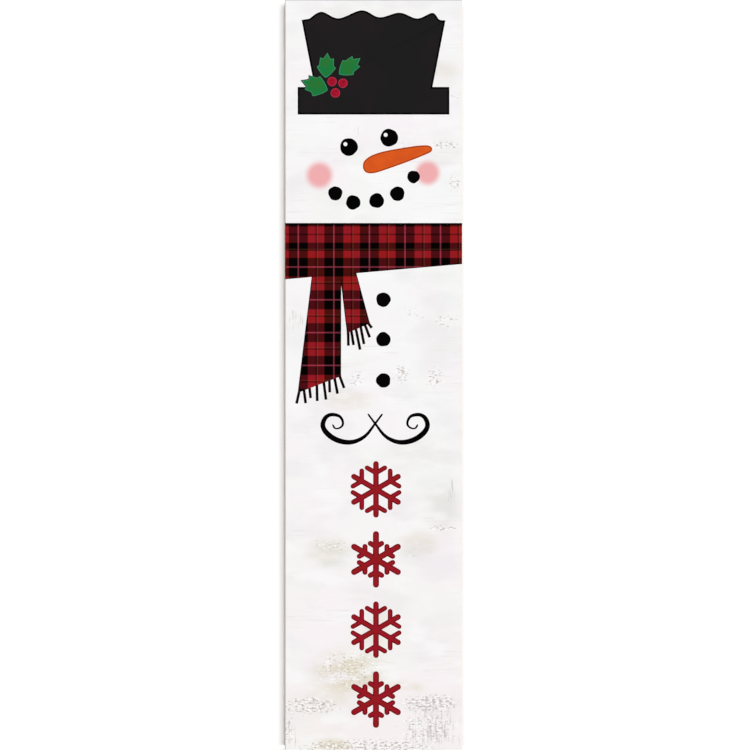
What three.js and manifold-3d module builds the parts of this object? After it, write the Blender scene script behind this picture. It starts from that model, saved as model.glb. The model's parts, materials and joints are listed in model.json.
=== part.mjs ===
// A printed porch board: a tall hollow board with a snowman printed on its front.
// A thin fibreboard panel carries the printed sheet and is glued to a pine frame, whose butt
// joints are stapled from behind. Two ring hangers and four rubber pads are on the back.
// X runs across the board, its printed front faces -Y and Z is up. The origin is the middle
// of the foot that the board stands on. Everything is in millimetres.
import * as THREE from "three";
import { mergeVertices } from "three/addons/utils/BufferGeometryUtils.js";
import Module from "manifold-3d";

const wasm = await Module();
wasm.setup();

// Driving dimensions.
const BOARD = { width: 215.9, height: 914.4, depth: 25 };
const PANEL = 5; // fibreboard panel
const SHEET = 0.25; // printed paper glued to the panel
const INK = 0.25; // one layer of print
const STRIP = 22; // face width of each pine strip
const BRACES = [BOARD.height / 3, (2 * BOARD.height) / 3]; // middle height of each cross brace
const SLACK = 0.3; // room around a fastener in the wood

const STAPLE = { crown: 11, wire: 1.2, proud: 1, leg: 10 };
const STRAP = { width: 11, thick: 1.25, length: 29, hole: 2.1, screwBelow: 22 };
const RING = { wire: 1.2, half: 8.5, corner: 2.5, side: 4.5, axisHeight: 840 };
const SCREW = { head: 4, crown: 2, shank: 1.7, length: 13 };
const PAD = { radius: 6.35, flat: 4.6, height: 6, inset: 34 };

// Planes and lines that the pieces share.
const FRONT = -BOARD.depth / 2;
const BACK = BOARD.depth / 2;
const INNER = FRONT + PANEL;
const PAPER_FACE = FRONT - SHEET;
const EDGE = BOARD.width / 2;
const STILE_IN = EDGE - STRIP;
const STILE_MID = EDGE - STRIP / 2;
const EYE = STRAP.thick + RING.wire + SLACK; // from the wood to the axis that a ring swings on

const finish = (color, roughness, metalness = 0) =>
  new THREE.MeshStandardMaterial({ color, roughness, metalness });

const PINE = finish("#c9a26b", 0.75);
const FIBREBOARD = finish("#a07a50", 0.85);
const ZINC = finish("#b9bcc0", 0.35, 1);
const RUBBER = finish("#1b1b1c", 0.8);
const WHITEWASH = finish("#f6f3f1", 0.7);
const COAL = finish("#0a090a", 0.55);
const FELT = finish("#232122", 0.6);
const HOLLY = finish("#267040", 0.55);
const BERRY = finish("#98182b", 0.55);
const CARROT = finish("#da5a24", 0.55);
const BLUSH = finish("#f3afb2", 0.65);
const PLAID_RED = finish("#8a1c24", 0.6);
const PLAID_DARK = finish("#2c0b0e", 0.6);
const CRIMSON = finish("#951c20", 0.55);

const board = new THREE.Group();

function add(name, geometry, material) {
  const mesh = new THREE.Mesh(geometry, material);
  mesh.name = name;
  board.add(mesh);
  return mesh;
}

// ---- Solids -------------------------------------------------------------------------------

// A box between two corners, with each face exactly where it is asked for.
function block(low, high) {
  const box = new THREE.BoxGeometry(1, 1, 1);
  const p = box.attributes.position;
  const pick = (side, axis) => (side > 0 ? high[axis] : low[axis]);
  for (let i = 0; i < p.count; i++)
    p.setXYZ(i, pick(p.getX(i), 0), pick(p.getY(i), 1), pick(p.getZ(i), 2));
  return box;
}

function toSolid(geometry) {
  const bare = geometry.index ? geometry.toNonIndexed() : geometry.clone();
  bare.deleteAttribute("normal");
  bare.deleteAttribute("uv");
  const merged = mergeVertices(bare, 1e-4);
  const mesh = new wasm.Mesh({
    numProp: 3,
    vertProperties: merged.attributes.position.array,
    triVerts: new Uint32Array(merged.index.array),
  });
  return new wasm.Manifold(mesh);
}

function toGeometry(solid) {
  const { vertProperties, triVerts } = solid.getMesh();
  return new THREE.BufferGeometry()
    .setAttribute("position", new THREE.BufferAttribute(vertProperties, 3))
    .setIndex(new THREE.BufferAttribute(triVerts, 1));
}

const carve = (geometry, cutters) =>
  toGeometry(cutters.reduce((left, c) => left.subtract(toSolid(c)), toSolid(geometry)));

const join = (geometries) =>
  toGeometry(geometries.map(toSolid).reduce((all, one) => all.add(one)));

// ---- Frame and panel ----------------------------------------------------------------------

// Where a staple bridges each butt joint: the stile's inner edge, at every rail and brace.
const railHeights = {
  bottom: STRIP / 2,
  lower: BRACES[0],
  upper: BRACES[1],
  top: BOARD.height - STRIP / 2,
};

// The two slots that a staple's legs have cut into the wood on either side of a joint.
function stapleSlots(x, z) {
  const half = STAPLE.wire / 2 + SLACK;
  const reach = STAPLE.crown / 2 - STAPLE.wire / 2;
  return [-reach, reach].map((dx) =>
    block([x + dx - half, BACK - STAPLE.leg - SLACK, z - half], [x + dx + half, BACK + 1, z + half]),
  );
}

function pilotHole(x, z) {
  const radius = SCREW.shank + SLACK;
  const deep = SCREW.length + SLACK;
  return new THREE.CylinderGeometry(radius, radius, 2 * deep, 20).translate(x, BACK, z);
}

const screwHeight = RING.axisHeight - STRAP.screwBelow;
const everyStaple = [-1, 1].flatMap((side) =>
  Object.values(railHeights).flatMap((z) => stapleSlots(side * STILE_IN, z)),
);

add("face_panel", block([-EDGE, FRONT, 0], [EDGE, INNER, BOARD.height]), FIBREBOARD);
add("printed_sheet", block([-EDGE, PAPER_FACE, 0], [EDGE, FRONT, BOARD.height]), WHITEWASH);

for (const [name, side] of [["left_stile", -1], ["right_stile", 1]]) {
  const [a, b] = side < 0 ? [-EDGE, -STILE_IN] : [STILE_IN, EDGE];
  const strip = block([a, INNER, 0], [b, BACK, BOARD.height]);
  add(name, carve(strip, [...everyStaple, pilotHole(side * STILE_MID, screwHeight)]), PINE);
}

const railNames = { bottom: "bottom_rail", lower: "lower_brace", upper: "upper_brace", top: "top_rail" };
for (const [key, z] of Object.entries(railHeights)) {
  const strip = block([-STILE_IN, INNER, z - STRIP / 2], [STILE_IN, BACK, z + STRIP / 2]);
  add(railNames[key], carve(strip, everyStaple), PINE);
}

// ---- Staples, pads and hangers ------------------------------------------------------------

// A staple seen from above: a crown on the wood and two legs in it.
function stapleGeometry() {
  const half = STAPLE.crown / 2;
  const inner = half - STAPLE.wire;
  const shape = new THREE.Shape();
  shape.moveTo(-half, -STAPLE.leg);
  shape.lineTo(-inner, -STAPLE.leg);
  shape.lineTo(-inner, 0);
  shape.lineTo(inner, 0);
  shape.lineTo(inner, -STAPLE.leg);
  shape.lineTo(half, -STAPLE.leg);
  shape.lineTo(half, STAPLE.proud);
  shape.lineTo(-half, STAPLE.proud);
  return new THREE.ExtrudeGeometry(shape, { depth: STAPLE.wire, bevelEnabled: false })
    .translate(0, 0, -STAPLE.wire / 2);
}

// A round pad with a flat face and a soft edge, turned about Y.
function padGeometry() {
  const edge = PAD.radius - PAD.flat;
  const profile = [new THREE.Vector2(0, 0), new THREE.Vector2(PAD.radius, 0)];
  for (let i = 0; i <= 3; i++) {
    const turn = (i / 3) * (Math.PI / 2);
    const out = PAD.flat + edge * Math.cos(turn);
    profile.push(new THREE.Vector2(out, PAD.height - edge + edge * Math.sin(turn)));
  }
  profile.push(new THREE.Vector2(0, PAD.height));
  return new THREE.LatheGeometry(profile, 20);
}

// A strap rolled at its upper end into an eye for the ring. The profile's x runs down the
// strap from the eye's axis, and its y runs out from the wood.
function strapGeometry() {
  const inner = EYE - STRAP.thick;
  const start = 1.5 * Math.PI;
  const end = -Math.PI / 18;
  const shape = new THREE.Shape();
  shape.moveTo(STRAP.length, 0);
  shape.lineTo(0, 0);
  shape.absarc(0, EYE, EYE, start, end, true);
  shape.absarc(0, EYE, inner, end, start, false);
  shape.lineTo(STRAP.length, STRAP.thick);
  const strap = new THREE.ExtrudeGeometry(shape, {
    depth: STRAP.width,
    bevelEnabled: false,
    curveSegments: 14,
  });
  strap.translate(0, 0, -STRAP.width / 2).rotateY(Math.PI / 2);
  const hole = new THREE.CylinderGeometry(STRAP.hole, STRAP.hole, 6, 20);
  return carve(strap, [hole.translate(0, STRAP.thick, -STRAP.screwBelow)]);
}

// The centre line of a D-shaped ring that hangs down from a straight bar at its top.
class RingLine extends THREE.Curve {
  constructor() {
    super();
    const { half, corner, side } = RING;
    this.outline = new THREE.Path();
    this.outline.moveTo(0, 0);
    this.outline.lineTo(half - corner, 0);
    this.outline.absarc(half - corner, -corner, corner, Math.PI / 2, 0, true);
    this.outline.lineTo(half, -side);
    this.outline.absarc(0, -side, half, 0, -Math.PI, true);
    this.outline.lineTo(-half, -corner);
    this.outline.absarc(corner - half, -corner, corner, Math.PI, Math.PI / 2, true);
    this.outline.lineTo(0, 0);
  }

  getPoint(t) {
    const p = this.outline.getPointAt(t);
    return new THREE.Vector3(p.x, 0, p.y);
  }
}

// A pan-head screw along Y, with the underside of its head at the origin.
function screwGeometry() {
  const { head, crown, shank, length } = SCREW;
  const profile = [
    [0, -length],
    [shank, 2 - length],
    [shank, 0],
    [head, 0],
    [head, 0.5 * crown],
    [0.8 * head, 0.85 * crown],
    [0.4 * head, crown],
    [0, crown],
  ].map(([r, y]) => new THREE.Vector2(r, y));
  return new THREE.LatheGeometry(profile, 20);
}

for (const [word, side] of [["left", -1], ["right", 1]]) {
  for (const [place, z] of Object.entries(railHeights))
    add(`staple_${place}_${word}`, stapleGeometry(), ZINC).position.set(side * STILE_IN, BACK, z);

  const x = side * STILE_MID;
  for (const [place, z] of [["bottom", PAD.inset], ["top", BOARD.height - PAD.inset]])
    add(`pad_${place}_${word}`, padGeometry(), RUBBER).position.set(x, BACK, z);

  add(`hanger_strap_${word}`, strapGeometry(), ZINC).position.set(x, BACK, RING.axisHeight);
  const ring = new THREE.TubeGeometry(new RingLine(), 40, RING.wire, 8, true);
  add(`hanger_ring_${word}`, ring, ZINC).position.set(x, BACK + EYE, RING.axisHeight);
  const seat = BACK + STRAP.thick;
  add(`hanger_screw_${word}`, screwGeometry(), ZINC).position.set(x, seat, screwHeight);
}

// ---- Print --------------------------------------------------------------------------------
// Each printed colour is a film that lies on the sheet, or on the film below it. Outlines are
// drawn as seen from the front, x across from the board's middle line and y up from its foot.

function film(outline, curveSegments = 8) {
  return new THREE.ExtrudeGeometry(outline, { depth: INK, bevelEnabled: false, curveSegments });
}

function print(name, geometry, material, layer = 0) {
  const mesh = add(name, geometry, material);
  mesh.rotation.x = Math.PI / 2;
  mesh.position.y = PAPER_FACE - layer * INK;
  return mesh;
}

const polygon = (points) => new THREE.Shape(points.map(([x, y]) => new THREE.Vector2(x, y)));

// A round that was drawn by hand: its radius swells and shrinks a little as it goes round.
function blobPoints(x, y, radius, phase, uneven = 0.03) {
  const count = 36;
  return Array.from({ length: count }, (_, i) => {
    const turn = (2 * Math.PI * i) / count;
    const lumps = Math.sin(5 * turn + 2.3 * phase) + 0.6 * Math.sin(8 * turn + 3.7 * phase);
    const r = radius * (1 + uneven * (Math.sin(3 * turn + phase) + 0.6 * lumps));
    return [x + r * Math.cos(turn), y + r * Math.sin(turn)];
  });
}

// Top hat: a wide brim, and a crown that spreads upwards to a wavy top.
function hatShape() {
  const brim = { half: 92.4, low: 774.8, top: 808.3 };
  const crown = { halfLow: 71.8, halfTop: 87.6, top: 890 };
  const wave = [
    [-78.3, 891.6], [-63.4, 900], [-42.6, 892], [-14.4, 901.8], [7.2, 893.3],
    [31.8, 898.9], [53.2, 891.8], [71.9, 898.6], [80, 890.6], [crown.halfTop, crown.top - 0.4],
  ];
  const shape = new THREE.Shape();
  shape.moveTo(-brim.half, brim.low);
  shape.lineTo(brim.half, brim.low);
  shape.lineTo(brim.half, brim.top);
  shape.lineTo(crown.halfLow, brim.top);
  shape.lineTo(crown.halfTop, crown.top - 0.4);
  shape.splineThru(wave.slice(0, -1).reverse().map(([x, y]) => new THREE.Vector2(x, y)));
  shape.lineTo(-crown.halfTop, crown.top);
  shape.lineTo(-crown.halfLow, brim.top);
  shape.lineTo(-brim.half, brim.top);
  return shape;
}

// A holly leaf from its stalk at (x, y), pointing up and turned clockwise by the given degrees.
// One side is listed as shares of the half width and of the length: spine, hollow, hollow,
// spine and shoulder. The other side is its mirror.
function leafShape(x, y, length, halfWidth, degrees) {
  const side = [[1, 0.42], [0.76, 0.5], [0.74, 0.68], [0.72, 0.8], [0.38, 0.76]];
  const turn = (-degrees * Math.PI) / 180;
  const place = ([across, along]) => {
    const [u, v] = [across * halfWidth, along * length];
    return [x + u * Math.cos(turn) - v * Math.sin(turn), y + u * Math.sin(turn) + v * Math.cos(turn)];
  };
  const left = side.map(([across, along]) => [-across, along]).reverse();
  const shape = new THREE.Shape();
  shape.moveTo(x, y);
  shape.quadraticCurveTo(...place([0.5, 0.1]), ...place(side[0]));
  for (const point of [...side.slice(1), [0, 1], ...left]) shape.lineTo(...place(point));
  shape.quadraticCurveTo(...place([-0.5, 0.1]), x, y);
  return shape;
}

// An eye, with the round glint left open so that the white sheet shows.
function eyeShape(x, y, radius, phase) {
  const shape = polygon(blobPoints(x, y, radius, phase, 0.02));
  const glint = { dx: -0.4 * radius, dy: 0.32 * radius, radius: 0.23 * radius };
  const hole = new THREE.Path();
  hole.absarc(x + glint.dx, y + glint.dy, glint.radius, 0, 2 * Math.PI, true);
  shape.holes.push(hole);
  return shape;
}

// A carrot nose: a blunt root on the left, and a slim rounded tip that lifts to the right.
function noseShape(x, y) {
  const shape = new THREE.Shape();
  shape.moveTo(x, y);
  shape.bezierCurveTo(x, y + 12, x + 22, y + 17.5, x + 43, y + 20.6);
  shape.bezierCurveTo(x + 57, y + 23, x + 71, y + 25.4, x + 79.3, y + 24.6);
  shape.bezierCurveTo(x + 85.3, y + 24, x + 86.8, y + 18.2, x + 81.3, y + 15.6);
  shape.bezierCurveTo(x + 65, y + 8, x + 43, y + 0.2, x + 22, y - 7);
  shape.bezierCurveTo(x + 10, y - 11, x, y - 11.5, x, y);
  return shape;
}

// The scarf's band runs right across the board, and its lower edge climbs to the right.
const SCARF = { top: 642.4, lowLeft: 573.9, lowRight: 592.5 };
const bandEdge = (x) =>
  SCARF.lowLeft + ((x + EDGE) / BOARD.width) * (SCARF.lowRight - SCARF.lowLeft);
const FORK = [-39.4, 567.1]; // where the two tails part
const LONG_TAIL = { left: -75.4, hemLeft: [-92.2, 437.1], hemRight: [-39.6, 457.4] };
const SHORT_TAIL = { right: -20.9, hemLeft: [-32.6, 509.6], hemRight: [-4.8, 521.6] };

// The fringe of a tail: a narrow hem below its cut edge, and strands that start on the hem. Each
// strand is listed by its share of the way along the hem, and where it ends from there.
const HEM = 1.4;
function fringe([x0, y0], [x1, y1], ends) {
  const half = 1.45;
  const strands = ends.map(([share, dx, dy]) => {
    const x = x0 + share * (x1 - x0);
    const y = y0 + share * (y1 - y0) - 0.8 * HEM;
    const long = Math.hypot(dx, dy);
    const [nx, ny] = [(-dy / long) * half, (dx / long) * half];
    return polygon([[x - nx, y - ny], [x + dx - nx, y + dy - ny], [x + dx + nx, y + dy + ny],
      [x + nx, y + ny]]);
  });
  const hem = polygon([[x0, y0], [x0, y0 - HEM], [x1, y1 - HEM], [x1, y1]]);
  return join([hem, ...strands].map((shape) => film(shape)));
}

const bandShape = polygon([
  [-EDGE, SCARF.lowLeft],
  [LONG_TAIL.left, bandEdge(LONG_TAIL.left)],
  [FORK[0], bandEdge(FORK[0])],
  [SHORT_TAIL.right, bandEdge(SHORT_TAIL.right)],
  [EDGE, SCARF.lowRight],
  [EDGE, SCARF.top],
  [-EDGE, SCARF.top],
]);

// Dark stripes of the plaid, along and across: the scarf's outline with the red blocks left open.
const CHECK = { stripe: 22, acrossFrom: -91.7, across: 43.7, upFrom: 468.9, up: 40 };

function plaidChecks() {
  const outline = polygon([
    [-EDGE, SCARF.lowLeft], [LONG_TAIL.left, bandEdge(LONG_TAIL.left)], LONG_TAIL.hemLeft,
    LONG_TAIL.hemRight, FORK, SHORT_TAIL.hemLeft, SHORT_TAIL.hemRight,
    [SHORT_TAIL.right, bandEdge(SHORT_TAIL.right)], [EDGE, SCARF.lowRight], [EDGE, SCARF.top],
    [-EDGE, SCARF.top],
  ]);
  const { stripe, acrossFrom, across, upFrom, up } = CHECK;
  const blocks = [];
  for (let x = acrossFrom - across; x < EDGE; x += across)
    for (let y = upFrom - up; y < SCARF.top; y += up)
      blocks.push(block([x + stripe / 2, y + stripe / 2, -1],
        [x + across - stripe / 2, y + up - stripe / 2, 1]));
  return carve(film(outline), blocks);
}

const longTail = polygon([[LONG_TAIL.left, bandEdge(LONG_TAIL.left)], LONG_TAIL.hemLeft,
  LONG_TAIL.hemRight, FORK, [FORK[0], bandEdge(FORK[0])]]);
const longFringe = fringe(LONG_TAIL.hemLeft, LONG_TAIL.hemRight, [
  [0.03, -3.2, -14], [0.14, 2.1, -15.8], [0.27, 1.3, -12.2], [0.44, 0.4, -19.2],
  [0.6, 2.7, -20.8], [0.73, 0.4, -14.6], [0.85, 3.6, -18.6], [0.97, 5.3, -14.2],
]);

const shortTail = polygon([[FORK[0], bandEdge(FORK[0])], FORK, SHORT_TAIL.hemLeft,
  SHORT_TAIL.hemRight, [SHORT_TAIL.right, bandEdge(SHORT_TAIL.right)]]);
const shortFringe = fringe(SHORT_TAIL.hemLeft, SHORT_TAIL.hemRight, [
  [0.06, 0.3, -16], [0.2, 2.7, -17], [0.4, 5.1, -25], [0.61, 4, -20.8],
  [0.8, 5.6, -14.8], [0.95, 4, -5],
]);

// A six-armed snowflake. Each arm has one pair of branches that lean outwards at 60 degrees, and
// every end is round. An arm is worked out lying along +u and then turned. The branches of two
// arms head for one point, so each is much shorter than its distance out.
function flakeShape(x, y, { reach, half, branchAt, branchLong }) {
  const thin = 0.85 * half;
  const [c, s] = [Math.cos(Math.PI / 3), Math.sin(Math.PI / 3)];
  const onBranch = (along, aside) => [branchAt + c * along - s * aside, s * along + c * aside];
  const root = (aside) => onBranch((half - c * aside) / s, aside);
  const arc = (from, to, steps, radius) =>
    Array.from({ length: steps + 1 }, (_, i) => {
      const turn = from + ((to - from) * i) / steps;
      return [radius * Math.cos(turn), radius * Math.sin(turn)];
    });
  const branchEnd = arc(Math.PI / 2, -Math.PI / 2, 6, thin)
    .map(([along, aside]) => onBranch(branchLong + along, aside));
  const armEnd = arc(Math.PI / 2, 0, 3, half).map(([u, v]) => [reach - half + u, v]);
  const edge = [root(thin), ...branchEnd, root(-thin), ...armEnd];
  const mirror = edge.slice(0, -1).map(([u, v]) => [u, -v]);
  const valley = [Math.sqrt(3) * half, half];
  const arm = [...mirror, ...edge.reverse(), valley];
  const points = [];
  for (let i = 0; i < 6; i++) {
    const turn = Math.PI / 2 + (i * Math.PI) / 3;
    const [ct, st] = [Math.cos(turn), Math.sin(turn)];
    for (const [u, v] of arm) points.push([x + u * ct - v * st, y + u * st + v * ct]);
  }
  return polygon(points);
}

// A pen stroke along a curve, thin at its ends and broad in the middle.
function penShape(points, thin, broad) {
  const line = new THREE.SplineCurve(points.map(([x, y]) => new THREE.Vector2(x, y)));
  const steps = 26;
  const [left, right] = [[], []];
  for (let i = 0; i <= steps; i++) {
    const share = i / steps;
    const half = thin + (broad - thin) * Math.sin(Math.PI * share) ** 2;
    const p = line.getPointAt(share);
    const t = line.getTangentAt(share);
    left.push([p.x - half * t.y, p.y + half * t.x]);
    right.unshift([p.x + half * t.y, p.y - half * t.x]);
  }
  return polygon([...left, ...right]);
}

// ---- The picture --------------------------------------------------------------------------

print("print_hat", film(hatShape()), FELT);
print("print_leaf_middle", film(leafShape(-58.4, 819.1, 31.4, 12, 4)), HOLLY, 1);
print("print_leaf_right", film(leafShape(-42.3, 823.6, 33.7, 11.5, 53)), HOLLY, 1);
print("print_leaf_left", film(leafShape(-55.6, 804.2, 35.6, 13.4, -70)), HOLLY, 1);

const berries = { left: [-50.5, 814.9], right: [-37.3, 812.9], low: [-46.5, 801.1] };
for (const [place, [x, y]] of Object.entries(berries))
  print(`print_berry_${place}`, film(polygon(blobPoints(x, y, 6.1, x, 0.015))), BERRY, 1);

print("print_eye_left", film(eyeShape(-30, 735.2, 10.8, 1)), COAL);
print("print_eye_right", film(eyeShape(19.1, 746.5, 10.8, 2)), COAL);
print("print_nose", film(noseShape(-13.1, 712.5)), CARROT);

// The mouth is a row of coals. The last one is printed over the edge of the right cheek.
const MOUTH = [[-46.6, 678.7, 8.6], [-24.8, 667.6, 8.8], [3.8, 669.8, 9], [29.1, 678.2, 8.8],
  [48.8, 698.8, 7.7]];
MOUTH.forEach(([x, y, r], i) =>
  print(`print_mouth_coal_${i + 1}`, film(polygon(blobPoints(x, y, r, 1.7 * i))), COAL));

const lastCoal = polygon(blobPoints(MOUTH[4][0], MOUTH[4][1], MOUTH[4][2] + 0.15, 1.7 * 4));
const cheek = (x, y, r) => film(polygon(blobPoints(x, y, r, 0.4, 0.01)));
print("print_cheek_left", cheek(-66.1, 700.9, 15.6), BLUSH);
print("print_cheek_right", carve(cheek(65.9, 703.8, 14.4), [film(lastCoal)]), BLUSH);

print("print_scarf_band", film(bandShape), PLAID_RED);
print("print_scarf_long_tail", film(longTail), PLAID_RED);
print("print_scarf_short_tail", film(shortTail), PLAID_RED);
print("print_fringe_long", longFringe, COAL);
print("print_fringe_short", shortFringe, COAL);
print("print_scarf_checks", plaidChecks(), PLAID_DARK, 1);

[549.1, 500.7, 450.6].forEach((y, i) =>
  print(`print_button_${i + 1}`, film(polygon(blobPoints(12, y, 8.8, 2.1 * i + 0.6))), COAL));

// Below the buttons: a pen flourish that mirrors about the middle, then four snowflakes.
const SCROLL = { x: 2, y: 391 };
const scrollSide = (side) =>
  penShape(
    [[-9, 19], [0, 7], [13, -9], [31, -16], [51, -11], [64, 3], [58, 17], [43, 16], [39, 5], [48, 0],
      [52, 6]].map(([x, y]) => [SCROLL.x + side * x, SCROLL.y + y]),
    1.1, 3.3,
  );
print("print_flourish", join([film(scrollSide(1)), film(scrollSide(-1))]), COAL);

const FLAKES = [
  { reach: 34.5, half: 3.4, branchAt: 20, branchLong: 12.5 },
  { reach: 34.5, half: 3.7, branchAt: 15.5, branchLong: 8 },
];
[317.8, 232.4, 146.7, 61.5].forEach((y, i) =>
  print(`print_snowflake_${i + 1}`, film(flakeShape(3, y, FLAKES[i % 2])), CRIMSON));

export default board;
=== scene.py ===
# %% [markdown]
# # A printed porch board
#
# The object is a tall, narrow wooden board that leans beside a front door. A snowman is
# printed on a sheet of paper, the sheet is glued to a fibreboard panel, and the panel is
# glued to a pine frame that is stapled together. Ring hangers and rubber pads are behind.
#
# The CAD model already says where everything is and how big it is. This script keeps those
# sizes, and gives each part the fine shape and the finish that a person would notice.

# %% Load the CAD frame
import json
import math

import bpy
import numpy as np
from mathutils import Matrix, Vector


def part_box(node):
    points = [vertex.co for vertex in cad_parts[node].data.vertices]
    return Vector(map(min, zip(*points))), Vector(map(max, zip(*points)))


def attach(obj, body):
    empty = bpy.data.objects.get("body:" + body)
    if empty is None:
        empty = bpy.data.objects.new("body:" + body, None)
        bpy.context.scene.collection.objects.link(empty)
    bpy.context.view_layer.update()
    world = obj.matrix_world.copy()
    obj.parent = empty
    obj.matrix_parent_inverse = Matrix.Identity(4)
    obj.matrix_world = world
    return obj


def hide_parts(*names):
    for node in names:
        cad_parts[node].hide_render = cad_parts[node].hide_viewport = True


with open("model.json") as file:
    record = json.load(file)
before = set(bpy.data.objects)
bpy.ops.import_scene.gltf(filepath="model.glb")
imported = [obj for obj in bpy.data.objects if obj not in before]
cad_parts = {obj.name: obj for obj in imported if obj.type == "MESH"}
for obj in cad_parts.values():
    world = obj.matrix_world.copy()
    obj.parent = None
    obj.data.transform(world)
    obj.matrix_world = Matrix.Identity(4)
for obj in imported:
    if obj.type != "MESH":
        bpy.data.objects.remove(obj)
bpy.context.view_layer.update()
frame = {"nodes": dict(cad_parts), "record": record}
MM = 0.001

body_of = {n: b for b, nodes in frame["record"]["behaviour"]["bodies"].items() for n in nodes}
print("CAD nodes:", len(body_of), "bodies:", sorted(set(body_of.values())))


# %% [markdown]
# ## Measures
#
# Everything is placed from the boxes of the CAD nodes. Inside this script a length is in
# millimetres, because that is how a workshop thinks, and it is turned to metres only when a
# mesh is made. X runs across the board, the print faces -Y, and Z is up.

# %% Boxes in millimetres
def span(node_name):
    """The lowest and highest corner of a CAD node, in millimetres."""
    low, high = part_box(node_name)
    return np.array(low) / MM, np.array(high) / MM


panel_low, panel_high = span("face_panel")
sheet_low, sheet_high = span("printed_sheet")
EDGE = panel_high[0]
HEIGHT = panel_high[2]
print(f"front {2 * EDGE:.1f} x {HEIGHT:.1f} mm, print at y = {sheet_low[1]:.2f} mm")


# %% [markdown]
# ## Camera
#
# A catalogue picture of a flat board is taken from straight in front with a long lens, so
# that its sides stay parallel. The board fills the picture from top to bottom, so the
# distance follows from the lens: half the height over half the sensor, times the lens.

# %% Make the camera
LENS, SENSOR = 100.0, 36.0
ASIDE = 1.8     # how far the camera stands to the right of the middle


def add_object(name, data):
    """Makes an object of some data and puts it in the scene."""
    made = bpy.data.objects.new(name, data)
    bpy.context.scene.collection.objects.link(made)
    return made


camera_data = bpy.data.cameras.new("catalogue_camera")
camera_data.lens = LENS
camera_data.sensor_width = SENSOR
camera = add_object("catalogue_camera", camera_data)
distance = (HEIGHT / 2) / (SENSOR / 2 / LENS)
camera.location = (ASIDE * MM, (sheet_low[1] - distance) * MM, HEIGHT / 2 * MM)
camera.rotation_euler = (math.pi / 2, 0, 0)
bpy.context.scene.camera = camera
print(f"camera {distance:.0f} mm in front of the print")


# %% [markdown]
# ## Small tools for materials
#
# A shader is a graph of nodes. One helper adds a node, sets what it is told and links what
# it is given. Another turns the colour that a person picks from a chart (sRGB) into the
# linear light that a renderer adds up. A surface is then built as a painter would build it:
# a ground colour with coats over it, each showing only where its mask says.

# %% Node and colour helpers
def linear(hex_colour):
    """Turns an sRGB hex colour into linear RGBA: each channel c becomes ((c+0.055)/1.055)^2.4."""
    c = np.array([int(hex_colour[i:i + 2], 16) for i in (1, 3, 5)]) / 255
    low = c <= 0.04045
    return (*np.where(low, c / 12.92, ((c + 0.055) / 1.055) ** 2.4), 1.0)


def feed(tree, made, values):
    """Gives a node's inputs a number, a hex colour or the output of another node."""
    for key, value in values.items():
        if isinstance(value, bpy.types.NodeSocket):
            tree.links.new(value, made.inputs[key])
        elif value is not None:
            made.inputs[key].default_value = linear(value) if isinstance(value, str) else value


def node(tree, kind, *inputs, out=0, **named):
    """Adds one shader node and returns one of its outputs.

    kind is the node's type, with its operation after a dot if it has one. inputs fill the
    node's inputs from the first, such as a MapRange's value and the range that it comes from,
    and None leaves one alone. A name with a capital is an input too, and any other name is a
    setting.
    """
    kind, _, operation = kind.partition(".")
    made = tree.nodes.new("ShaderNode" + kind)
    if operation:
        made.operation = operation
    values = dict(enumerate(inputs))
    for key, value in named.items():
        if key[0].isupper():
            values[key.replace("_", " ")] = value
        else:
            setattr(made, key, value)
    feed(tree, made, values)
    return made.outputs[out]


def coats(tree, colour, *layers):
    """Lays coats over a colour, each (mask, colour), and returns what is seen in the end."""
    for mask, coat in layers:
        colour = node(tree, "Mix", mask, *[None] * 5, colour, coat, out=2, data_type="RGBA")
    return colour


def new_material(name, values):
    """A material with its plain values set on the shader's own sockets."""
    made = bpy.data.materials.new(name)
    made.use_nodes = True
    shader = made.node_tree.nodes["Principled BSDF"]
    feed(made.node_tree, shader, values)
    return made, made.node_tree, shader


def millimetres(tree, stretch=(1, 1, 1)):
    """Object coordinates in millimetres, each divided by its stretch."""
    place = node(tree, "TexCoord", out="Object")
    return node(tree, "VectorMath.MULTIPLY", place, tuple(1 / MM / s for s in stretch))


print("the middle grey #808080 is", round(linear("#808080")[0], 3), "in linear light")


# %% [markdown]
# ## Paper grain
#
# The sheet and every printed colour share one surface: a matte, faintly fibrous paper, laid
# over board. The grain is made from two noises, one the size of paper fibres (0.7 mm) and
# one the size of the soft ripples that glue leaves (18 mm). It only tilts the surface, so it
# goes into the shader's normal.

# %% Printed paper
FIBRE = 0.7
RIPPLE = 18.0
MATTE_GLOSS = 0.1


def printed_paper(name, roughness=0.6):
    """A matte material, its surface tilted by fibre noise on ripple noise."""
    made, tree, shader = new_material(name, {
        "Roughness": roughness, "IOR": 1.5, "Specular IOR Level": MATTE_GLOSS})
    mm = millimetres(tree)
    fibre = node(tree, "TexNoise", mm, Scale=1 / FIBRE, Detail=2.0)
    ripple = node(tree, "TexNoise", mm, Scale=1 / RIPPLE, Detail=1.0)
    coarse = node(tree, "Bump", Strength=0.25, Distance=0.0006, Height=ripple)
    feed(tree, shader, {"Normal": node(
        tree, "Bump", Strength=0.18, Distance=0.00008, Height=fibre, Normal=coarse)})
    return made, tree, shader


print("paper grain:", FIBRE, "mm fibres on", RIPPLE, "mm ripples")


# %% [markdown]
# ## Whitewashed print
#
# The ground of the picture is a print of old white boards. It is nearly white, a little
# pinker and darker towards the foot, with soft clouds of rose, green and grey, and here and
# there some level brush strokes. Noise alone makes these. Other marks have places: beige and
# olive stains, and wear, where dark specks and small white chips lie close together. The
# sheet's mesh carries those places as attributes, worked out further down, and noise only
# breaks them up. Along its left and top edges a grey line about a millimetre wide is
# painted shade, as if those edges stood in shadow.

# %% Whitewashed print
MARKS = ("stain", "smudge", "wear", "scratch", "blush")
FOOT_FROM, FOOT_TO = 430.0, 20.0    # heights between which the foot's tint comes in
# how far in from the left and top edges the painted shade line reaches, in mm
EDGE_SHADE_TO = 1.0


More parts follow.
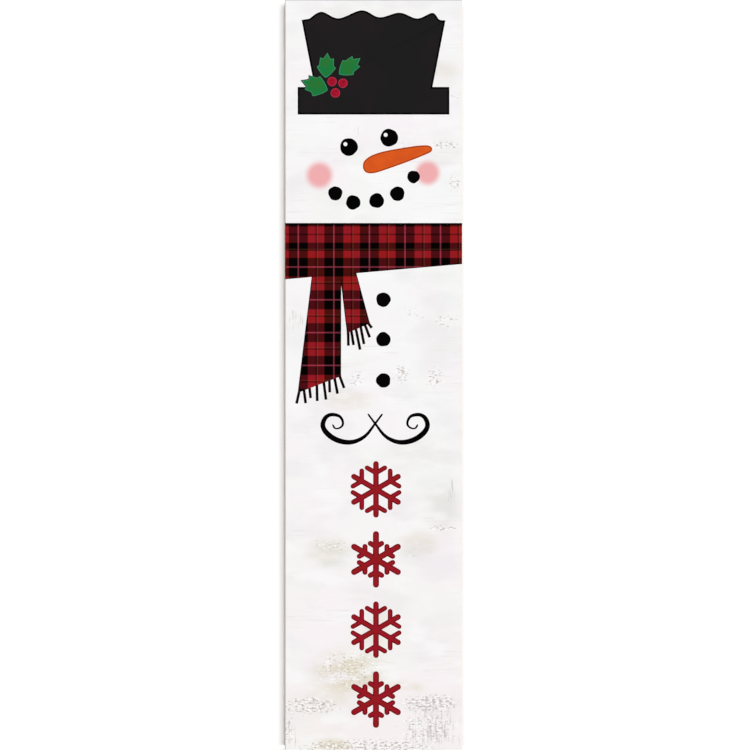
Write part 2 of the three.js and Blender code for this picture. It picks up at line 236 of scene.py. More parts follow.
def whitewash_print():
    made, tree, shader = printed_paper("whitewash_print_on_paper", 0.62)
    mm = millimetres(tree)
    marked = {m: node(tree, "Attribute", out="Fac", attribute_name=m) for m in MARKS}

    def noise(size, detail, low, high, most=1.0, shift=0.0):
        """Noise whose features are size mm apart, stretched from low..high to 0..most."""
        place = node(tree, "VectorMath.ADD", mm, (shift, shift, shift))
        sizes = size if isinstance(size, tuple) else (size, size, size)
        place = node(tree, "VectorMath.MULTIPLY", place, tuple(1 / v for v in sizes))
        value = node(tree, "TexNoise", place, Scale=1.0, Detail=detail)
        return node(tree, "MapRange", value, low, high, To_Max=most)

    def within_mark(mark, *clouds):
        """Noise that shows only in the marked places."""
        return node(tree, "Math.MULTIPLY", marked[mark], noise(*clouds))

    def worn_through(mark, size, low, high, most, shift=0.0):
        """Specks that grow closer and larger towards the middle of a marked place."""
        raised = node(tree, "MapRange", marked[mark], To_Min=-0.26, To_Max=0.02)
        value = node(tree, "Math.ADD", noise(size, 4.0, 0.0, 1.0, 1.0, shift), raised)
        return node(tree, "MapRange", value, low, high, To_Max=most)

    x, _, up = [node(tree, "SeparateXYZ", mm, out=k) for k in range(3)]
    foot = node(tree, "MapRange", up, FOOT_FROM, FOOT_TO)
    strokes = node(tree, "Math.MULTIPLY", noise((48.0, 48.0, 1.8), 3.0, 0.56, 0.72, 0.32),
                   noise(60.0, 1.0, 0.50, 0.60, 1.0, 40.0))
    from_left = node(tree, "Math.ADD", x, EDGE)
    from_top = node(tree, "Math.SUBTRACT", HEIGHT, up)
    from_edge = node(tree, "Math.MINIMUM", from_left, from_top)
    # Painted shade: a grey line along the left and top edges, as if they stood in shadow.
    edge_shade = node(tree, "MapRange", from_edge, EDGE_SHADE_TO, 0.2, To_Max=0.8)
    ground = coats(
        tree, "#f3f3f3", (foot, "#f1ebea"),
        (noise(90.0, 2.0, 0.42, 0.62, 0.8), "#f4eef1"),                         # rose
        (noise(75.0, 2.0, 0.50, 0.66, 0.6, 300.0), "#eff2ed"),                  # green
        (noise((70.0, 70.0, 38.0), 3.0, 0.50, 0.66, 0.3, 90.0), "#e0dde0"),     # grey
        (noise((60.0, 60.0, 26.0), 3.0, 0.54, 0.68, 0.6, 500.0), "#f7f6f7"),    # bare white
        (strokes, "#cfcaca"),
        (within_mark("smudge", (34.0, 34.0, 14.0), 5.0, 0.34, 0.60, 0.6, 700.0), "#d9d8d3"),
        (within_mark("stain", (30.0, 30.0, 14.0), 6.0, 0.34, 0.56, 0.75, 60.0), "#dad1ba"),
        (worn_through("wear", (4.6, 4.6, 2.4), 0.50, 0.55, 0.8, 210.0), "#fbf9f8"),
        (worn_through("wear", (4.2, 4.2, 2.0), 0.50, 0.60, 0.75), "#a89f9a"),
        (worn_through("scratch", (1.7, 1.7, 15.0), 0.50, 0.62, 0.5), "#b0a8a6"),
        (marked["blush"], "#ecabad"), (edge_shade, "#656467"))
    feed(tree, shader, {"Base Color": ground})
    return made


WHITEWASH = whitewash_print()
print("material:", WHITEWASH.name, "with places for", *MARKS)


# %% [markdown]
# ## Flat printed colours
#
# Each shape of the picture is one ink with a darker or lighter line round its border, as if
# drawn with a marker and filled in. Real ink on paper is never quite even, so a second tone
# of the same ink drifts through it in soft patches. The mesh marks the faces of the border
# with an attribute, and the material picks the line's colour there.

# %% Ink material
def ink(name, tone, other_tone, line, patch=22.0, outline=None):
    """Ink in two soft tones. Faces with rim 0.5 take the line colour, with rim 1 the outline."""
    made, tree, shader = printed_paper(name)
    drift = node(tree, "TexNoise", millimetres(tree), Scale=1 / patch, Detail=3.0)
    soft = node(tree, "MapRange", drift, 0.38, 0.62)
    rim = node(tree, "Attribute", out="Fac", attribute_name="rim")
    inner = node(tree, "MapRange", rim, From_Max=0.5)
    outer = node(tree, "MapRange", rim, From_Min=0.5)
    feed(tree, shader, {"Base Color": coats(
        tree, tone, (soft, other_tone), (inner, line), (outer, outline or line))})
    return made


CHARCOAL = ink("charcoal_ink", "#1d1d1e", "#221d1e", "#010101", 60.0)
COAL = ink("black_ink", "#020202", "#060405", "#010101")
HOLLY = ink("holly_green_ink", "#18773d", "#2b7233", "#418d66", 11.0, "#06110a")
BERRY = ink("berry_red_ink", "#a8152f", "#94142b", "#b23850", 5.0, "#2c060c")
CARROT = ink("carrot_orange_ink", "#d9591f", "#d1531f", "#8f3a12", 14.0)
CRIMSON = ink("crimson_ink", "#8f1b1f", "#951826", "#680711", 12.0)
THREAD = ink("scarf_thread_ink", "#16060a", "#080304", "#030102", 9.0)
GLINT = ink("white_ink", "#f4f3f2", "#efeeee", "#f4f3f2")
print("inks:", len([m for m in bpy.data.materials if m.name.endswith("ink")]))


# %% [markdown]
# ## Plaid
#
# Tartan is woven from the same sequence of threads both ways. Where a dark stripe crosses a
# dark stripe the cloth is black, where it crosses red it is a dark red, and elsewhere it is
# red. So each direction gives a darkness, the two are added, and the sum picks the colour.
# The distance to the nearest pale line is a triangle wave, which Ping-Pong gives directly.
# Round the neck the cloth is folded, so its level stripes are given there by height instead.

# %% Plaid material
SETT_ACROSS, SETT_UP = 43.35, 40.0          # after which the threads repeat
PALE_LINE_X, PALE_LINE_Z = -91.7, 468.9     # where one pale line lies
LINE_HALF, DARK_REACH = 0.85, 11.6          # from its middle to its edge and the dark's edge
THIN_HALF, THIN_DARK = 0.9, 0.7             # the thin dark line half a repeat away
OLIVE_ASIDE, OLIVE_HALF = 1.6, 0.5          # the olive thread that lies just beside that
COLLAR = (600.0, 700.0)
COLLAR_BANDS = [(608.7, 618.5), (638.2, 700.0)]
COLLAR_THIN = (627.6, 629.6)
BLUR = 0.2


def plaid_print():
    made, tree, shader = printed_paper("plaid_print")
    mm = millimetres(tree)
    x, _, z = [node(tree, "SeparateXYZ", mm, out=k) for k in range(3)]

    def within(value, low, high):
        """1 between two values and 0 outside, with soft edges."""
        rise = node(tree, "MapRange", value, low - BLUR, low + BLUR)
        fall = node(tree, "MapRange", value, high - BLUR, high + BLUR, To_Min=1.0, To_Max=0.0)
        return node(tree, "Math.MULTIPLY", rise, fall)

    def sett(place, pale_at, repeat):
        """Darkness, pale line and olive thread of one direction, by distance from the line."""
        half = repeat / 2
        turn = node(tree, "Math.SUBTRACT", place, pale_at)
        from_line = node(tree, "Math.PINGPONG", turn, half)
        dark = within(from_line, LINE_HALF, DARK_REACH)
        thin = within(from_line, half - THIN_HALF, repeat)
        pale = within(from_line, -1.0, LINE_HALF)
        turn = node(tree, "Math.SUBTRACT", place, pale_at + half + OLIVE_ASIDE)
        olive = within(node(tree, "Math.PINGPONG", turn, half), -1.0, OLIVE_HALF)
        return node(tree, "Math.MULTIPLY_ADD", thin, THIN_DARK, dark), pale, olive

    warp_dark, warp_pale, warp_olive = sett(x, PALE_LINE_X, SETT_ACROSS)
    weft_dark, weft_pale, weft_olive = sett(z, PALE_LINE_Z, SETT_UP)

    in_collar = within(z, *COLLAR)
    collar = node(tree, "Math.ADD", *[within(z, *band) for band in COLLAR_BANDS])
    collar = node(tree, "Math.MULTIPLY_ADD", within(z, *COLLAR_THIN), THIN_DARK, collar)
    weft_dark = node(tree, "Mix", in_collar, None, weft_dark, collar)
    weft_pale = node(tree, "Mix", in_collar, None, weft_pale, 0.0)

    drift = node(tree, "TexNoise", mm, Scale=1 / 26, Detail=1.0)
    hue = node(tree, "MapRange", drift, 0.4, 0.6)
    darkness = node(tree, "Math.ADD", warp_dark, weft_dark)
    once = node(tree, "Math.MINIMUM", darkness, 1.0)
    twice = node(tree, "Math.MAXIMUM", node(tree, "Math.SUBTRACT", darkness, 1.0), 0.0)
    twice = node(tree, "Math.MINIMUM", twice, 1.0)
    pale = node(tree, "Math.MAXIMUM", warp_pale, weft_pale)
    pale = node(tree, "Math.MULTIPLY", pale,
                node(tree, "Math.MULTIPLY_ADD", darkness, -0.1, 0.42))
    olive = node(tree, "Math.MAXIMUM", warp_olive, node(tree, "Math.MULTIPLY", weft_olive, 0.7))
    olive = node(tree, "Math.MULTIPLY", olive, 0.22)
    thread = node(tree, "TexNoise", millimetres(tree, (0.9, 1, 2.4)), Scale=1.0, Detail=1.0)
    worn = node(tree, "MapRange", thread, 0.3, 0.75, To_Max=0.22)
    rim = node(tree, "Attribute", out="Fac", attribute_name="rim")
    red = coats(tree, "#9b191b", (hue, "#961b24"))
    dark_red = coats(tree, "#4a0f0b", (hue, "#4c0c13"))
    cloth = coats(tree, red, (once, dark_red), (twice, "#010201"), (pale, "#a44a62"),
                  (olive, "#8f5a3c"), (worn, "#1a0507"), (rim, "#060304"))
    feed(tree, shader, {"Base Color": cloth})
    return made


PLAID = plaid_print()
print("plaid repeats every", SETT_ACROSS, "by", SETT_UP, "mm")


# %% [markdown]
# ## Pine
#
# The frame is of planed pine strips, sawn along the trunk. A board like that cuts through the
# growth rings lengthwise, so they show as long pale and brown bands 2 to 5 mm apart that
# wander and pinch round small knots. A knot is a branch cut across: it has rings of its own
# and a thin dark rim of bark. Fibres make a much finer streak along the same way. The outer
# sides are painted off-white, and the brush has strayed a little over the back's edges.

# %% Pine material
RING_GAP = 4.2
RING_SLANT = 0.45                   # how far the rings lean, seen on a strip's end
WANDER, PINCH = 34.0, 9.0           # how far noise and a knot move a ring, in mm
PAINT_REACH = 0.5
KNOT_CELL = (90.0, 90.0, 150.0)     # one knot to each such block of wood
KNOT = 0.052                        # radius of a knot, as a part of its block


def on_outer_side(tree, wander):
    """1 on the board's outer sides, and on what the brush reached past their edges."""
    mm = millimetres(tree)
    x, _, z = [node(tree, "SeparateXYZ", mm, out=k) for k in range(3)]
    from_side = node(tree, "Math.SUBTRACT", EDGE, node(tree, "Math.ABSOLUTE", x))
    from_top = node(tree, "Math.SUBTRACT", HEIGHT, z)
    nearest = node(tree, "Math.MINIMUM", node(tree, "Math.MINIMUM", from_side, from_top), z)
    brush = node(tree, "TexNoise", mm, Scale=1 / 14, Detail=4.0)
    reach = node(tree, "MapRange", brush, 0.35, 0.7,
                 To_Min=PAINT_REACH, To_Max=PAINT_REACH + wander)
    inside = node(tree, "Math.SUBTRACT", reach, nearest)
    return node(tree, "MapRange", inside, -0.1, 0.1)


def pine(name, along):
    """Pine with its grain along axis 0 (X) or 2 (Z)."""
    made, tree, shader = new_material(name, {"IOR": 1.5})
    turn = (0, 0, 0) if along == 2 else (0, math.pi / 2, 0)
    flat = node(tree, "Mapping", millimetres(tree), Rotation=turn)

    def stretched(*sizes):
        return node(tree, "VectorMath.MULTIPLY", flat, tuple(1 / s for s in sizes))

    warp = node(tree, "TexNoise", stretched(26, 26, 190), Scale=1.0, Detail=2.0)
    from_knot = node(tree, "TexVoronoi", stretched(*KNOT_CELL), out="Distance", Scale=1.0)
    knot = node(tree, "MapRange", from_knot, KNOT, 5 * KNOT,
                To_Min=1.0, To_Max=0.0, interpolation_type="SMOOTHSTEP")
    x, y = [node(tree, "SeparateXYZ", flat, out=k) for k in range(2)]
    ring = node(tree, "Math.MULTIPLY_ADD", y, RING_SLANT, x)
    ring = node(tree, "Math.MULTIPLY_ADD", warp, WANDER, ring)
    ring = node(tree, "Math.MULTIPLY_ADD", knot, PINCH, ring)
    ring = node(tree, "Math.PINGPONG", ring, RING_GAP)
    late = node(tree, "MapRange", ring, RING_GAP * 0.45, RING_GAP, To_Max=0.75)
    fibres = node(tree, "TexNoise", stretched(0.8, 0.8, 26), Scale=1.0, Detail=3.0,
                  Roughness=0.6)
    streak = node(tree, "MapRange", fibres, 0.42, 0.72, To_Max=0.4)
    branch_ring = node(tree, "Math.PINGPONG", from_knot, KNOT / 7)
    branch_ring = node(tree, "MapRange", branch_ring, From_Max=KNOT / 7)
    heart = node(tree, "MapRange", from_knot, 0.95 * KNOT, 0.85 * KNOT)
    off_rim = node(tree, "Math.ABSOLUTE", node(tree, "Math.SUBTRACT", from_knot, KNOT))
    bark = node(tree, "MapRange", off_rim, 0.18 * KNOT, 0.05 * KNOT, To_Max=0.75)

    branch = coats(tree, "#8d5b30", (branch_ring, "#6d4222"))
    paint = coats(tree, "#dedbd6", (streak, "#b9b3ab"))
    wood = coats(tree, "#dcb987", (late, "#b98347"), (streak, "#a06c38"), (heart, branch),
                 (bark, "#4f3018"), (on_outer_side(tree, 1.2), paint))
    rough = node(tree, "MapRange", fibres, 0.3, 0.7, To_Min=0.48, To_Max=0.68)
    bump = node(tree, "Bump", Strength=0.35, Distance=0.0002, Height=fibres)
    feed(tree, shader, {"Base Color": wood, "Roughness": rough, "Normal": bump})
    print("material:", name, "grain along", "XYZ"[along], "rings across", "XYZ"[2 - along])
    return made


PINE_UP = pine("planed_pine_upright", 2)
PINE_ACROSS = pine("planed_pine_crosswise", 0)


# %% [markdown]
# ## Fibreboard
#
# The panel is medium density fibreboard: wood fibres and resin pressed hot between plates.
# Its face is smooth, mid brown and mottled with fibre bundles about a millimetre long. Its
# sawn edges are painted with the frame's.

# %% Fibreboard material
BUNDLE = 1.4


def fibreboard():
    made, tree, shader = new_material("fibreboard", {"Roughness": 0.58, "IOR": 1.5})
    mm = millimetres(tree)
    bundles = node(tree, "TexNoise", mm, Scale=1 / BUNDLE, Detail=4.0, Roughness=0.7,
                   Distortion=0.6)
    patches = node(tree, "TexNoise", mm, Scale=1 / 40, Detail=2.0)
    fleck = node(tree, "MapRange", bundles, 0.42, 0.7, To_Max=0.7)
    board = coats(tree, "#a98259", (patches, "#94704a"), (fleck, "#7a5834"),
                  (on_outer_side(tree, 0.1), "#dbd8d3"))
    bump = node(tree, "Bump", Strength=0.2, Distance=0.0001, Height=bundles)
    feed(tree, shader, {"Base Color": board, "Normal": bump})
    return made


FIBREBOARD = fibreboard()
print("material:", FIBREBOARD.name, "with bundles", BUNDLE, "mm long")


# %% [markdown]
# ## Zinc and rubber
#
# The hangers, screws and staples are mild steel with a bright zinc coat: a cool grey metal
# whose polish is broken by fine drawing lines and faint cloudy spangle. The pads are moulded
# black rubber, dull with a fine tooth and a little pale dust.

# %% Metal and rubber materials
SPANGLE = 2.5
TOOTH = 0.35


def zinc():
    made, tree, shader = new_material("zinc_plated_steel", {"Metallic": 1.0})
    mm = millimetres(tree)
    spangle = node(tree, "TexVoronoi", mm, out="Color", Scale=1 / SPANGLE)
    cloudy = node(tree, "TexNoise", mm, Scale=1 / 3, Detail=3.0)
    dull = node(tree, "MapRange", cloudy, 0.5, 0.8, To_Max=0.5)
    grey = coats(tree, "#b4b8be", (spangle, "#c9ccd0"), (dull, "#8f9296"))
    rough = node(tree, "MapRange", cloudy, 0.3, 0.7, To_Min=0.26, To_Max=0.46)
    lines = node(tree, "TexNoise", millimetres(tree, (0.15, 0.15, 3)), Scale=1.0, Detail=2.0)
    bump = node(tree, "Bump", Strength=0.12, Distance=0.00003, Height=lines)
    feed(tree, shader, {"Base Color": grey, "Roughness": rough, "Normal": bump})
    return made


def rubber():
    made, tree, shader = new_material("moulded_rubber", {"Roughness": 0.72, "IOR": 1.52})
    mm = millimetres(tree)
    tooth = node(tree, "TexNoise", mm, Scale=1 / TOOTH, Detail=3.0)
    dust = node(tree, "TexNoise", mm, Scale=1 / 3.5, Detail=5.0)
    dusty = node(tree, "MapRange", dust, 0.5, 0.75, To_Max=0.35)
    bump = node(tree, "Bump", Strength=0.4, Distance=0.00006, Height=tooth)
    feed(tree, shader, {
        "Base Color": coats(tree, "#161617", (dusty, "#3a3836")), "Normal": bump})
    return made


ZINC = zinc()
RUBBER = rubber()
print("materials:", ZINC.name, "and", RUBBER.name)


# %% [markdown]
# ## From arrays to pieces
#
# Every piece below is worked out as an array of points. This cell puts such an array into a
# mesh. A grid of rows and columns has a quad between each four neighbours, and the flat ends
# of a piece are closed with one many-sided face each. The piece then rides on the body of
# the CAD node that it stands for, and takes over that node's place.

# %% Mesh helpers
def grid_faces(rows, columns, closed=True):
    """Quads of a grid as an array of vertex numbers; closed joins the last column to the first."""
    last = columns if closed else columns - 1
    r, c = np.meshgrid(np.arange(rows - 1), np.arange(last), indexing="ij")
    near, far = r * columns + c, r * columns + (c + 1) % columns
    return np.stack([near, far, far + columns, near + columns], axis=-1).reshape(-1, 4)


def end_faces(rows, columns):
    """The first and the last row of a closed grid, each as one face that looks outwards."""
    first = np.arange(columns)
    return [first[::-1], first + (rows - 1) * columns]


def make_piece(name, points, faces, material, nodes, smooth=True, attributes=None):
    """Puts points in millimetres and faces into a mesh that stands for CAD nodes."""
    mesh = bpy.data.meshes.new(name)
    mesh.from_pydata((points * MM).tolist(), [], [list(map(int, f)) for f in faces])
    for key, (domain, values) in (attributes or {}).items():
        layer = mesh.attributes.new(key, "FLOAT", domain)
        layer.data.foreach_set("value", np.asarray(values, np.float32))
    mesh.polygons.foreach_set("use_smooth", np.full(len(mesh.polygons), smooth))
    mesh.update()
    mesh.validate()
    mesh.materials.append(material)
    piece = add_object(name, mesh)
    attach(piece, body_of[nodes[0]])
    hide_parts(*nodes)
    return piece


print("a 3 by 4 tube has", len(grid_faces(3, 4)), "quads")


# %% [markdown]
# ## The printed sheet
#
# The sheet is 0.25 mm of paper. Its front is a fine grid, 2 mm apart, so that it can carry
# the places of the blush, the stains and the wear. Each place is a soft oval: the distance
# from its middle, counted in its own half widths, fades from 1 inside to 0 outside.

# %% Places on the sheet
def soft_oval(x, z, middle, half, hard=0.35):
    """1 near the middle and 0 past the rim: a smooth step of the distance in half widths."""
    away = np.hypot((x - middle[0]) / half[0], (z - middle[1]) / half[1])
    t = np.clip((1 - away) / (1 - hard), 0, 1)
    return t * t * (3 - 2 * t)


def cheek_map(x, z):
    """The blush of both cheeks, softer and a little wider than the CAD node of each."""
    total = np.zeros_like(x)
    for name in ("print_cheek_left", "print_cheek_right"):
        low, high = span(name)
        radius = (high[2] - low[2]) / 2
        outer = 1.3 * radius
        middle = (high[0] - radius, (low[2] + high[2]) / 2)
        total = np.maximum(total, soft_oval(x, z, middle, (outer, outer), 0.5))
    return total


STAINS = [((-30, 92), (62, 42), 1), ((-52, 66), (42, 20), 0.5), ((-48, 6), (34, 12), 1),
          ((-30, 427), (42, 18), 0.5), ((80, 828), (34, 16), 0.35), ((36, 76), (40, 14), 0.6),
          ((-53, 244), (40, 24), 0.4), ((2, 146), (26, 36), 0.4), ((54, 252), (34, 20), 0.5)]
SMUDGES = [((-53, 238), (40, 26), 1), ((54, 248), (34, 28), 0.8), ((2, 146), (26, 36), 0.3),
           ((-18, 187), (24, 14), 0.5), ((70, 822), (52, 34), 0.6), ((-66, 54), (66, 20), 0.5),
           ((68, 56), (60, 20), 0.3), ((60, 526), (66, 24), 0.2), ((60, 360), (70, 36), 0.6),
           ((-96, 526), (22, 24), 0.4), ((92, 716), (26, 42), 0.5), ((84, 300), (30, 50), 1),
           ((0, 900), (150, 26), 0.5)]
WORN = [((-76, 54), (62, 20), 0.95), ((68, 57), (66, 20), 1), ((-30, 98), (76, 46), 0.7),
        ((66, 26), (66, 38), 0.8), ((-6, 4), (150, 18), 0.95), ((34, 459), (16, 20), 0.95),
        ((74, 454), (20, 22), 0.85), ((-20, 452), (18, 18), 0.8), ((50, 531), (22, 26), 0.6),
        ((88, 524), (26, 18), 0.75), ((88, 738), (28, 12), 0.9), ((99, 691), (14, 18), 0.85),
        ((86, 271), (32, 7), 0.95), ((98, 797), (20, 5), 0.8), ((58, 238), (44, 14), 0.5),
        ((-104, 22), (12, 34), 0.8), ((-52, 250), (50, 14), 0.65), ((40, 738), (14, 9), 0.7)]
SCRATCHED = [((70, 28), (62, 46), 0.9), ((-94, 524), (20, 24), 0.8), ((95, 312), (9, 30), 0.9),
             ((50, 530), (20, 26), 0.5), ((-100, 20), (14, 34), 0.8), ((-28, 754), (26, 12), 0.6),
             ((-30, 98), (70, 40), 0.5)]


def places(x, z, ovals):
    """The strongest at each point of several soft ovals, each (middle, half widths, strength)."""
    return np.max([strength * soft_oval(x, z, middle, half, 0.25)
                   for middle, half, strength in ovals], axis=0)


print("marks on the ground:", [len(marks) for marks in (STAINS, SMUDGES, WORN, SCRATCHED)])


# %% Build the sheet
SPACING = 2.0
ARRIS = 0.1     # how far the sheet's front is set in, so that its edge is soft

columns = int(2 * EDGE / SPACING) + 1
rows = int(HEIGHT / SPACING) + 1
across, up = np.meshgrid(np.linspace(-EDGE, EDGE, columns), np.linspace(0, HEIGHT, rows))
at_side = np.abs(across) > EDGE - ARRIS
at_end = (up < ARRIS) | (up > HEIGHT - ARRIS)
front = np.stack([
    across - np.sign(across) * ARRIS * at_side,
    np.full_like(across, sheet_low[1]),
    np.clip(up, ARRIS, HEIGHT - ARRIS),
], axis=-1).reshape(-1, 3)
number = np.arange(rows * columns).reshape(rows, columns)
border = np.concatenate([
    number[0, :-1], number[:-1, -1], number[-1, :0:-1], number[:0:-1, 0]])
corner = np.stack([across, np.full_like(across, sheet_low[1] + ARRIS), up], -1).reshape(-1, 3)
side = corner[border]
behind = side + (0, sheet_high[1] - sheet_low[1] - ARRIS, 0)
first = rows * columns
count = len(border)
step = np.arange(count)
after = (step + 1) % count
fold = np.stack([border[step], first + step, first + after, border[after]], -1)
edge_faces = np.stack([
    first + step, first + count + step, first + count + after, first + after], -1)
faces = [*grid_faces(rows, columns, closed=False), *fold, *edge_faces,
         first + count + step[::-1]]
points = np.concatenate([front, side, behind])
x, z = points[:, 0], points[:, 2]
make_piece(
    "printed_sheet_paper", points, faces, WHITEWASH,
    ["printed_sheet", "print_cheek_left", "print_cheek_right"], smooth=False,
    attributes={
        "blush": ("POINT", cheek_map(x, z)),
        "stain": ("POINT", places(x, z, STAINS)),
        "smudge": ("POINT", places(x, z, SMUDGES)),
        "wear": ("POINT", places(x, z, WORN)),
        "scratch": ("POINT", places(x, z, SCRATCHED)),
    })
print("sheet grid:", rows, "by", columns)


# %% [markdown]
# ## Printed shapes
#
# The outline of each printed shape is already in the CAD film, as the border of its front
# face. Walking round that border once gives the points in order. The film is then the same
# outline carried through levels: on the sheet, just below the top, in by the soft edge, and
# in by the width of each drawn line. The last level is filled with one flat face.
#
# Moving an outline inwards is a matter of lines: each side shifts along its own inward
# normal, and a corner goes to where its two shifted sides cross. Solving those two equations
# for all the corners together is one array expression.

# %% Outlines
def outlines(node_name):
    """The border loops of a CAD film's front face, longest first, as (x, z) arrays."""
    mesh = frame["nodes"][node_name].data
    co = np.empty(3 * len(mesh.vertices), np.float32)
    mesh.vertices.foreach_get("co", co)
    corners = np.empty(len(mesh.loops), np.int32)
    mesh.loops.foreach_get("vertex_index", corners)
    points, which = np.unique(np.round(co.reshape(-1, 3) / MM, 3), axis=0, return_inverse=True)
    triangles = which.reshape(-1)[corners].reshape(-1, 3)
    facing = (points[triangles][:, :, 1] < points[:, 1].min() + 0.01).all(axis=1)
    sides = np.concatenate([triangles[facing][:, [i, (i + 1) % 3]] for i in range(3)])
    known = {(a, b) for a, b in sides.tolist()}
    following = {a: b for a, b in known if (b, a) not in known}
    loops = []
    while following:
        start = next(iter(following))
        loop = [start]
        while following.get(loop[-1], start) != start:
            loop.append(following.pop(loop[-1]))
        following.pop(loop[-1], None)
        loops.append(points[loop][:, [0, 2]])
    return sorted(loops, key=len, reverse=True)


STRAIGHT = 0.08     # two sides whose directions differ by less are taken as one line


def inset(outline, distance):
    """Moves each side inwards by its own distance; a corner goes to where its sides then cross."""
    side = np.roll(outline, -1, axis=0) - outline
    n1 = np.stack([-side[:, 1], side[:, 0]], -1) / np.linalg.norm(side, axis=1)[:, None]
    d1 = np.broadcast_to(distance, len(outline)).astype(float)
    n0, d0 = np.roll(n1, 1, axis=0), np.roll(d1, 1)
    cross = n0[:, 0] * n1[:, 1] - n0[:, 1] * n1[:, 0]
    straight = np.abs(cross) < STRAIGHT
    safe = np.where(straight, 1, cross)
    meet = np.stack([d0 * n1[:, 1] - d1 * n0[:, 1], d1 * n0[:, 0] - d0 * n1[:, 0]], -1)
    along = (n0 + n1) / (1 + (n0 * n1).sum(axis=1))[:, None] * ((d0 + d1) / 2)[:, None]
    return outline + np.where(straight[:, None], along, meet / safe[:, None])


def rounded_off(outline, times):
    """Chaikin's corner cutting: each side keeps its middle half, so every corner becomes two."""
    for _ in range(times):
        after = np.roll(outline, -1, axis=0)
        cut = np.stack([0.75 * outline + 0.25 * after, 0.25 * outline + 0.75 * after], axis=1)
        outline = cut.reshape(-1, 2)
    return outline


SOFT = 0.06     # the soft edge of a film


def film(name, material, nodes, lines, outline=None, lift=0.0, drawn=1.0, cuts=0):
    """A printed film. lines lists the (width, rim value) of its border lines from outside in.

    drawn says which sides have a line, and cuts how often the corners are cut.
    """
    low, high = span(nodes[0])
    outline = outlines(nodes[0])[0] if outline is None else outline
    outline = rounded_off(outline, cuts)
    top = low[1] - lift
    levels = [(outline, high[1]), (outline, top + SOFT), (inset(outline, SOFT * drawn), top)]
    reached = SOFT
    for width, _ in lines:
        reached += width
        levels.append((inset(outline, reached * drawn), top))
    points = np.concatenate([
        np.column_stack([at[:, 0], np.full(len(at), y), at[:, 1]]) for at, y in levels])
    grid = len(levels), len(outline)
    values = [lines[0][1]] * 2 + [value for _, value in lines]
    rim = np.r_[np.repeat(values, len(outline)), 0, 0]
    return make_piece(name, points, [*grid_faces(*grid), *end_faces(*grid)], material, nodes,
                      smooth=False, attributes={"rim": ("FACE", rim)})


print("the hat's outline has", len(outlines("print_hat")[0]), "points")


# %% [markdown]
# ## Hat, face and buttons
#
# The hat has a thick black line round a charcoal fill. Where the left holly leaf stands over
# the white ground it has a black outline too, which is lost against the hat everywhere else.
# On the nose and the snowflakes the colour runs a little past its own dark line.
# Each berry has the small dark star that a holly berry keeps from its flower.

# %% Hat and holly
OUTLINE, LINE, PAST_LINE = 1.0, 0.5, 0.0     # rim values: which colour a border line takes
BRIM = 13.5                                  # how far the brim stands out past the crown
STAR_OUT, STAR_IN, STAR_AT = 1.25, 0.5, (0.9, 1.9)

film("hat_ink", CHARCOAL, ["print_hat"], [(2.1, OUTLINE)])
crown_left = span("print_hat")[0][0] + BRIM
for place in ("middle", "right", "left"):
    leaf = outlines(f"print_leaf_{place}")[0]
    over_white = (leaf[:, 0] < crown_left) & (place == "left")
    band = np.where(over_white, 0.95, 0.2)
    film(f"holly_leaf_{place}_ink", HOLLY, [f"print_leaf_{place}"],
         [(band, OUTLINE), (0.75, LINE)], outline=leaf)
for place in ("left", "right", "low"):
    film(f"berry_{place}_ink", BERRY, [f"print_berry_{place}"],
         [(0.35, OUTLINE), (0.7, LINE)], lift=-0.05, cuts=1)
    low, high = span(f"print_berry_{place}")
    turn = np.pi * np.arange(10) / 5
    reach = np.where(np.arange(10) % 2, STAR_IN, STAR_OUT)
    centre = (low + high)[[0, 2]] / 2 + STAR_AT
    star = centre + reach[:, None] * np.stack([np.cos(turn), np.sin(turn)], -1)
    film(f"berry_star_{place}_ink", BERRY, [f"print_berry_{place}"],
         [(0.2, OUTLINE)], outline=star)

# %% Face, buttons and ornaments
STRAND_SPREAD = 0.2

for place in ("left", "right"):
    film(f"eye_{place}_ink", COAL, [f"print_eye_{place}"], [(0.6, OUTLINE)], cuts=1)
film("carrot_nose_ink", CARROT, ["print_nose"], [(0.35, PAST_LINE), (1.1, OUTLINE)], cuts=1)
for lump in [f"mouth_coal_{i}" for i in range(1, 6)] + [f"button_{i}" for i in range(1, 4)]:
    film(lump + "_ink", COAL, ["print_" + lump], [(0.6, OUTLINE)], cuts=1)
film("flourish_ink", COAL, ["print_flourish"], [(0.2, OUTLINE)], cuts=2)
for i in range(1, 5):
    film(f"snowflake_{i}_ink", CRIMSON, [f"print_snowflake_{i}"],
         [(0.3, PAST_LINE), (0.9, OUTLINE)])
for length in ("long", "short"):
    strands = inset(outlines(f"print_fringe_{length}")[0], -STRAND_SPREAD)
    film(f"fringe_{length}_ink", THREAD, [f"print_fringe_{length}"], [(0.3, OUTLINE)],
         outline=strands)


# %% [markdown]
# ## Scarf
#
# The scarf's band and its two tails are three films that meet in hidden seams, and they run
# off the board at both sides. A drawn line would give the seams away, so a side gets its
# line only if its middle is neither on the board's edge nor on a side of another scarf film.
# The cut end of each tail has no line either: there the cloth reaches out over the narrow
# band that holds the fringe together.

# %% Scarf films
TOP_LINE = 2.0
SIDE_LINE = 1.0
OVER_FRINGE = -1.35

scarf_nodes = ["print_scarf_band", "print_scarf_long_tail", "print_scarf_short_tail"]
scarf_outlines = {n: outlines(n)[0] for n in scarf_nodes}


def side_middles(outline):
    """The middle of each side of an outline."""
    return (outline + np.roll(outline, -1, axis=0)) / 2


